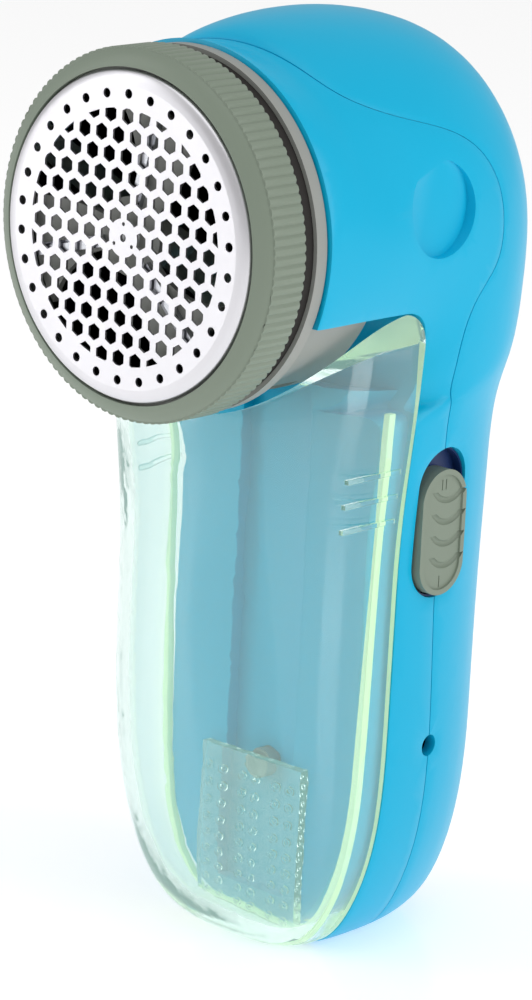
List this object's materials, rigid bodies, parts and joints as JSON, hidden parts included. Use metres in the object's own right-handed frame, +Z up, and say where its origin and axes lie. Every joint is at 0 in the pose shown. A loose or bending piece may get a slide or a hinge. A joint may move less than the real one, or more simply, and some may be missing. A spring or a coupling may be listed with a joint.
{
  "type": "fabric shaver",
  "caption": "Hand-held rechargeable fabric shaver with a perforated round foil, a ribbed lock ring, a clear lint container and a side slide switch.",
  "frame": {"origin": "centre of the overall box at the base on which the shaver stands", "axes": "+Z up the handle, -Y the way the foil faces, +X the side with the switch and the charging hole"},
  "size_m": [0.0574, 0.0759, 0.15],
  "materials": {
    "blue_abs": "gloss moulded ABS",
    "olive_plastic": "satin moulded ABS",
    "grey_plastic": "satin moulded ABS",
    "clear_plastic": "clear polystyrene, polished",
    "foil_steel": "etched stainless steel sheet",
    "blade_steel": "ground stainless strip",
    "motor_steel": "plated steel",
    "zinc_screw": "zinc plated",
    "bronze_bush": "sintered bronze",
    "ferrite": "fired ferrite",
    "black_rubber": "moulded rubber",
    "black_plastic": "moulded nylon",
    "navy_plastic": "moulded ABS",
    "circuit_board": "solder mask on laminate",
    "cell_wrap": "shrink sleeve"
  },
  "bodies": {
    "body": {"front_shell": "blue_abs", "rear_shell": "blue_abs", "case_screws": "zinc_screw", "latch_stud": "grey_plastic", "chamber": "grey_plastic", "barrel_seal": "black_rubber", "motor_can": "motor_steel", "motor_end_cap": "black_plastic", "motor_bearings": "bronze_bush", "motor_magnets": "ferrite", "motor_brushes": "ferrite", "motor_terminals": "bronze_bush", "motor_bracket": "grey_plastic", "motor_screws": "zinc_screw", "switch_tray": "navy_plastic", "switch_body": "black_plastic", "dc_jack": "black_plastic", "dc_pin": "motor_steel", "charge_board": "circuit_board", "board_components": "black_plastic", "battery_cells": "cell_wrap", "battery_contacts": "motor_steel", "battery_cradle": "black_plastic"},
    "cutter": {"blade_carrier": "grey_plastic", "blades": "blade_steel", "blade_cap": "motor_steel", "motor_shaft": "motor_steel", "armature": "motor_steel", "commutator": "bronze_bush"},
    "foil_holder": {"foil_carrier": "grey_plastic", "foil_rim": "foil_steel", "foil": "foil_steel"},
    "ring": {"lock_ring": "olive_plastic"},
    "container": {"lint_container": "clear_plastic"},
    "switch": {"switch_knob": "olive_plastic"}
  },
  "joints": [
    {"name": "cutter_spin", "type": "hinge", "parent": "body", "child": "cutter", "pos_m": [0, -0.0379, 0.1185], "axis": [0, 1, 0], "continuous": true},
    {"name": "foil_pull", "type": "slide", "parent": "body", "child": "foil_holder", "axis": [0, -1, 0], "range_m": [0, 0.03]},
    {"name": "ring_turn", "type": "hinge", "parent": "foil_holder", "child": "ring", "pos_m": [0, -0.0379, 0.1185], "axis": [0, 1, 0], "range_deg": [0, 30]},
    {"name": "container_slide", "type": "slide", "parent": "body", "child": "container", "axis": [0, 0, -1], "range_m": [0, 0.06]},
    {"name": "switch_slide", "type": "slide", "parent": "body", "child": "switch", "axis": [0, 0, 1], "range_m": [0, 0.0029]}
  ]
}
